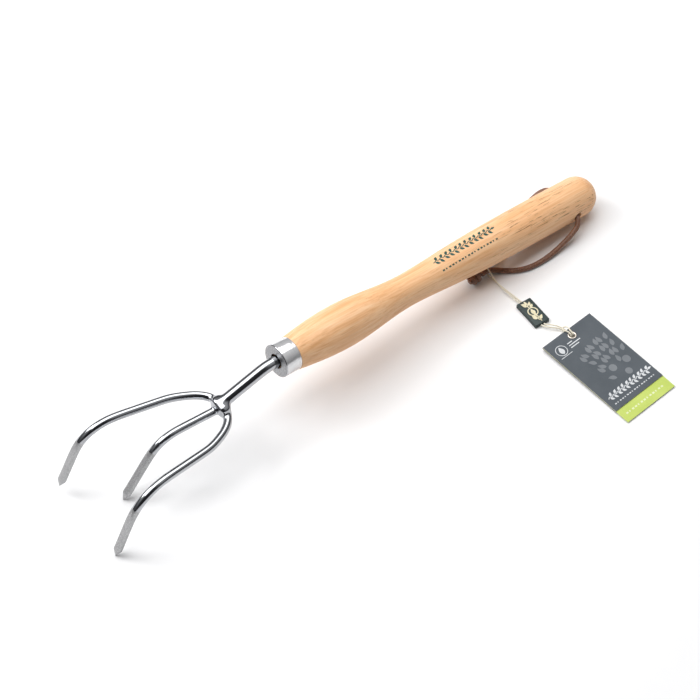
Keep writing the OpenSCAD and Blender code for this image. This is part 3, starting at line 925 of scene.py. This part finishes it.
def seal_half(name, height, middle, bevel, segments):
    """One half of the seal: a block with rounded edges at a height above the ground."""
    w, l, h = SEAL_W / 2, SEAL_LEN / 2, height / 2
    verts = [(x * w, y * l, z * h + middle) for x in (-1, 1) for y in (-1, 1) for z in (-1, 1)]
    faces = [(0, 1, 3, 2), (4, 6, 7, 5), (0, 4, 5, 1), (2, 3, 7, 6), (0, 2, 6, 4), (1, 5, 7, 3)]
    obj = new_object(name, verts, faces, SEAL)
    edit_mesh(obj.data, lambda bm: bmesh.ops.bevel(
        bm, geom=list(bm.edges), offset=bevel * MM, segments=segments, profile=0.5, affect="EDGES",
        clamp_overlap=True))
    finish_piece(obj, "tag_line", ["seal"], [name + "_half"])
    return obj


def make_seal():
    """The seal's two halves, with a ring, a leaf and two short garlands on its face."""
    upper, gap, size = SEAL_T - SEAL_SPLIT, 0.02, 6.0
    face = seal_half("seal_face", upper - 2 * gap, SEAL_SPLIT + upper / 2 + gap, 0.45, 4)
    back = seal_half("seal_back", SEAL_SPLIT - 2 * gap, SEAL_SPLIT / 2 - gap, 0.35, 3)
    rim = SEAL_LEN / 2 - 1.6
    marks = garland(-rim, -4.0, 0, size, 2) + garland(4.2, rim - 2.6, 0, size, 2)
    marks.append(leaf((-2.7, 0), 5.4, 1.5, 0))
    motif = relief(marks, lambda x, y, h: (-y, x, SEAL_T + h), -0.2, 0.22)
    emblem = new_object("seal_motif", *joined([flat_torus(3.5, 0.4, 0.25, (0, 0, SEAL_T)), motif]), SEAL)
    finish_piece(emblem, "tag_line", ["emblem"], ["seal_emblem"])
    return [face, back, emblem]


def flat_torus(radius, half, height, at, sides=40):
    """A flat ring of print or relief, of a radius at its middle and half its width."""
    low, high = radius - half, radius + half
    verts, faces = upright([(0, low), (height, low), (height, high), (0, high)], sides, closed=True)
    return verts + at, faces


def stroke(line, half):
    """A flat line with a width, as rows of three points across it."""
    line = np.array(line, float)
    along = np.gradient(line, axis=0)
    across = np.stack([-along[:, 1], along[:, 0]], 1) / np.linalg.norm(along, axis=1)[:, None]
    wide = across * np.broadcast_to(half, len(line))[:, None]
    return np.stack([line - wide, line, line + wide], 1)


def leaf(at, length, half, angle, bend=0.0):
    """A pointed leaf from its stalk at a point and at an angle in degrees."""
    t = np.linspace(0, 1, 9)
    c, q = math.cos(math.radians(angle)), math.sin(math.radians(angle))
    x, y = t * length, bend * np.sin(math.pi * t)
    line = np.stack([at[0] + x * c - y * q, at[1] + x * q + y * c], 1)
    return stroke(line, half * np.sin(math.pi * t ** 0.8) + 0.04)


def disc(at, radius):
    """A round spot, as a stroke whose width follows a circle."""
    t = np.linspace(-1, 1, 19)
    line = np.stack([at[0] + t * radius, np.full(len(t), at[1])], 1)
    return stroke(line, radius * np.sqrt(1 - t ** 2) + 0.03)


def garland(start, end, y, size, pairs):
    """A wavy stem with leaves in pairs."""
    x = np.linspace(start, end, 60)
    shapes = [stroke(np.stack([x, y + 0.09 * size * np.sin(x * 9.0 / size)], 1), 0.055 * size)]
    for k, at in enumerate(np.linspace(start + 0.3 * size, end - 0.5 * size, pairs)):
        for side in (1, -1):
            tilt = 52 + 9 * math.sin(2.4 * k + side)
            shapes.append(leaf((at + 0.14 * size * (side + 1), y + side * 0.06 * size), 0.62 * size,
                               0.165 * size, side * tilt, 0.06 * side * size))
    shapes.append(leaf((end - 0.05 * size, y), 0.6 * size, 0.14 * size, 4))
    return shapes


def dashes(start, end, y, half, count):
    """A broken rule with dashes of two lengths."""
    step = (end - start) / count
    return [stroke([(start + k * step, y), (start + (k + 0.35 + 0.25 * (k % 3 != 1)) * step, y)], half)
            for k in range(count)]


def relief(shapes, lay, low, high, stagger=0.004):
    """Thin shapes laid on a surface by a function of x, y and height, their tops staggered a little."""
    verts, faces = [], []
    for k, rows in enumerate(shapes):
        base, n, top = len(verts), len(rows) * 3, high + stagger * (k % 6)
        verts += [lay(x, y, h) for h in (low, top) for row in rows for x, y in row]
        for a in range(base, base + n - 3, 3):
            for c in (a, a + 1):
                faces += [(c, c + 3, c + 4, c + 1), (c + n, c + 1 + n, c + 4 + n, c + 3 + n)]
            faces += [(a, a + n, a + 3 + n, a + 3), (a + 2, a + 5, a + 5 + n, a + 2 + n)]
        for a in (base, base + n - 3):
            faces += [(c, c + 1, c + 1 + n, c + n) for c in (a, a + 1)]
    return np.array(verts, float), faces


def make_leaf(name, node, body, material, level, length):
    """One card of the tag at its level in the stack, punched for the eyelet, with pale cut edges."""
    base = WASHER_T + LEAF_GAP + level * (LEAF_T + LEAF_GAP)
    nx, ny = 12, 20
    verts, faces = [], []
    for z in (base + 0.03, base + LEAF_T - 0.03):
        for j in range(ny + 1):
            for i in range(nx + 1):
                verts.append(((i / nx - 0.5) * (TAG_W - 0.1), EYELET_IN - 0.05 - (length - 0.1) * j / ny, z))
    n = (nx + 1) * (ny + 1)
    for j in range(ny):
        for i in range(nx):
            a = j * (nx + 1) + i
            faces.append((a, a + nx + 1, a + nx + 2, a + 1))
            faces.append((a + n, a + 1 + n, a + nx + 2 + n, a + nx + 1 + n))
    rim = [j * (nx + 1) for j in range(ny + 1)] + [ny * (nx + 1) + i for i in range(1, nx + 1)]
    rim += [j * (nx + 1) + nx for j in range(ny - 1, -1, -1)] + list(range(nx - 1, 0, -1))
    for a, b in zip(rim, rim[1:] + rim[:1]):
        faces.append((a, b, b + n, a + n))
    obj = new_object(name, verts, faces, TAG)
    hole_r = EYELET_BORE / 2 + 0.36
    punch = new_object("punch", *upright([(-2, 0), (-2, hole_r), (5, hole_r), (5, 0)], 32), TAG)
    cut_with(obj, [punch])
    finish_piece(obj, body, [material, "paper_edge"], [node],
                 pick=lambda at, normal: int(abs(normal.z) < 0.5))


STACK_TOP = WASHER_T + LEAF_GAP + 3 * (LEAF_T + LEAF_GAP)
INK_SUNK, INK_PROUD, BRIGHT_PROUD = -0.02, 0.025, 0.03
TREE_FOOT, TREE_ROWS, TREE_LEAF = (10.4, -51.0), (7.2, 13.8, 20.4, 27.0, 33.6), 6.2
FRUITS = [((14.2, -38.2), 3.0), ((1.6, -37.6), 2.9), ((8.2, -46.4), 2.6)]
RING_AT, RING_R = (-14.9, -4.7), 4.2


def tree():
    """A generic tree: fruit, and loose leaves in rows that fan out from its foot."""
    shapes = [disc(at, r) for at, r in FRUITS]
    for row, r in enumerate(TREE_ROWS):
        step = math.degrees(4.4 / (r + 2.4))
        for k in range(int(150 / step)):
            angle = 24 + step * (k + 0.5 * (row % 2))
            out = np.array([math.cos(math.radians(angle)), math.sin(math.radians(angle))])
            at = TREE_FOOT + out * r
            middle, tip = at + out * 3, at + out * 6
            clear = all(math.hypot(middle[0] - x, middle[1] - y) > size + 2.8 for (x, y), size in FRUITS)
            if clear and -11 < tip[0] < 20.3 and at[1] > -49.6:
                tilt = 12 if k % 2 else -12
                shapes.append(leaf(at, TREE_LEAF, 1.6, angle + tilt, 0.5 * (-1) ** row))
    return shapes


def make_print():
    """The tag's print as thin ink: a tree, a garland, a ring with a leaf in it, and plain rules."""
    top = STACK_TOP - LEAF_GAP - 0.03
    strip = top - LEAF_T - LEAF_GAP

    def on(level):
        return lambda x, y, h: (x, y, level + h)

    obj = new_object("tag_print_tree", *relief(tree(), on(top), INK_SUNK, INK_PROUD), TAG)
    finish_piece(obj, "front_leaf", ["pale_ink"])
    bright = garland(-19.5, 19, -53.8, 5.4, 10) + dashes(-19, 20, -59.8, 0.42, 17)
    bright += [stroke([(-8, y), (end, y)], 0.36) for y, end in ((-3.2, -3.5), (-5.2, 2.5), (-7.2, -0.5))]
    bright += [leaf((RING_AT[0], -7.9), 6.4, 1.9, 90), stroke([(-20, -10), (-9.6, -10)], 0.22)]
    circle = flat_torus(RING_R, 0.25, 0.05, (*RING_AT, top + INK_SUNK))
    rules = joined([relief(bright, on(top), INK_SUNK, BRIGHT_PROUD), circle])
    obj = new_object("tag_print_rules", *rules, TAG)
    finish_piece(obj, "front_leaf", ["white_ink"])
    rule = relief(dashes(-18.5, 18, -69.8, 0.65, 13), on(strip), INK_SUNK, INK_PROUD)
    obj = new_object("tag_print_strip", *rule, TAG)
    finish_piece(obj, "green_leaf", ["cream_ink"])


PRINT_TURN = math.radians(80)    # how far round the grip from +Y towards +Z its print lies


def make_handle_print():
    """A generic garland and a broken rule in green ink, wrapped on the grip."""
    def wrapped(x, y, h):
        a, r = PRINT_TURN - y / handle_radius(x), handle_radius(x) + h
        return x, r * math.cos(a), r * math.sin(a)

    shapes = garland(136.5, 190.5, 0, 6.2, 12) + dashes(139, 191, -8.6, 0.55, 18)
    obj = new_object("handle_print", *relief(shapes, wrapped, -0.15, 0.05), TOOL)
    finish_piece(obj, "tool", ["green_ink"])


def make_eyelet():
    """The eyelet's barrel with its domed flange, and the washer behind the cards."""
    bore, barrel, rim = EYELET_BORE / 2, EYELET_BORE / 2 + 0.3, EYELET_D / 2
    dome = [(STACK_TOP + 0.4 * math.sin(a), (barrel + rim) / 2 - (rim - bore) / 2 * math.cos(a))
            for a in np.linspace(0.15, math.pi - 0.15, 12)]
    profile = [(0.02, bore), (STACK_TOP, bore)] + [(z, min(max(r, bore), rim)) for z, r in dome]
    profile += [(STACK_TOP, rim), (STACK_TOP, barrel), (0.02, barrel)]
    obj = new_object("eyelet_ring", *upright(profile, 56, closed=True), TAG)
    finish_piece(obj, "tag", ["eyelet"], ["eyelet"], sharp_deg=45)
    washer = [(0, barrel + 0.02), (0.08, barrel), (WASHER_T, barrel), (WASHER_T, rim), (0.12, rim),
              (0, rim - 0.2)]
    obj = new_object("eyelet_back", *upright(washer, 56, closed=True), TAG)
    finish_piece(obj, "tag", ["eyelet"], ["eyelet_washer"])


# ---------------- all of it

MATERIALS = {
    "wood": wood(), "steel": polished_steel(), "ferrule_side": ferrule_side(),
    "ferrule_face": ferrule_face(), "dark": painted_shade_inside(), "leather": leather(), "cotton": cotton(),
    "seal": moulded("seal_plastic", (0.009, 0.023, 0.023), (0.015, 0.036, 0.034)),
    "emblem": moulded("emblem_ink", (0.70, 0.64, 0.42), (0.80, 0.75, 0.55), 0.5),
    "grey": card("grey_card", (0.080, 0.094, 0.108), (0.101, 0.116, 0.132)),
    "green": card("green_card", (0.50, 0.62, 0.12), (0.58, 0.69, 0.17)),
    "paper_edge": card("paper_edge", (0.40, 0.38, 0.32), (0.56, 0.54, 0.47), 0.8),
    "green_ink": moulded("green_ink", (0.010, 0.062, 0.050), (0.018, 0.090, 0.072), 0.45),
    "cream_ink": card("cream_ink", (0.72, 0.79, 0.45), (0.80, 0.86, 0.55)),
    "pale_ink": card("pale_ink", (0.178, 0.194, 0.212), (0.218, 0.234, 0.252)),
    "white_ink": card("white_ink", (0.62, 0.64, 0.66), (0.74, 0.76, 0.78)),
    "eyelet": bright_metal(),
    "resin": moulded("resin", (0.55, 0.42, 0.2), (0.65, 0.5, 0.26), 0.3, own=False),
}

make_camera()
make_thong()
seal_pieces = make_seal()
make_string("hanger_string_twisted", HANGER_ROUTE, "hanger_string")
make_string("tag_string_twisted", TAG_STRING_ROUTE, "tag_string")
make_studio()
make_floor()
make_knot()
make_handle()
make_ferrule()
make_tines()
make_neck()
make_junction()
make_leaf("tag_back_card", "tag_back_leaf", "tag", "grey", 0, TAG_LEN)
make_leaf("tag_green_card", "tag_green_leaf", "green_leaf", "green", 1, TAG_LEN + GREEN_SHOW)
make_leaf("tag_front_card", "tag_front_leaf", "front_leaf", "grey", 2, TAG_LEN)
make_print()
make_handle_print()
make_eyelet()
for slot in frame["nodes"]["tang_resin"].material_slots:
    slot.material = MATERIALS["resin"]
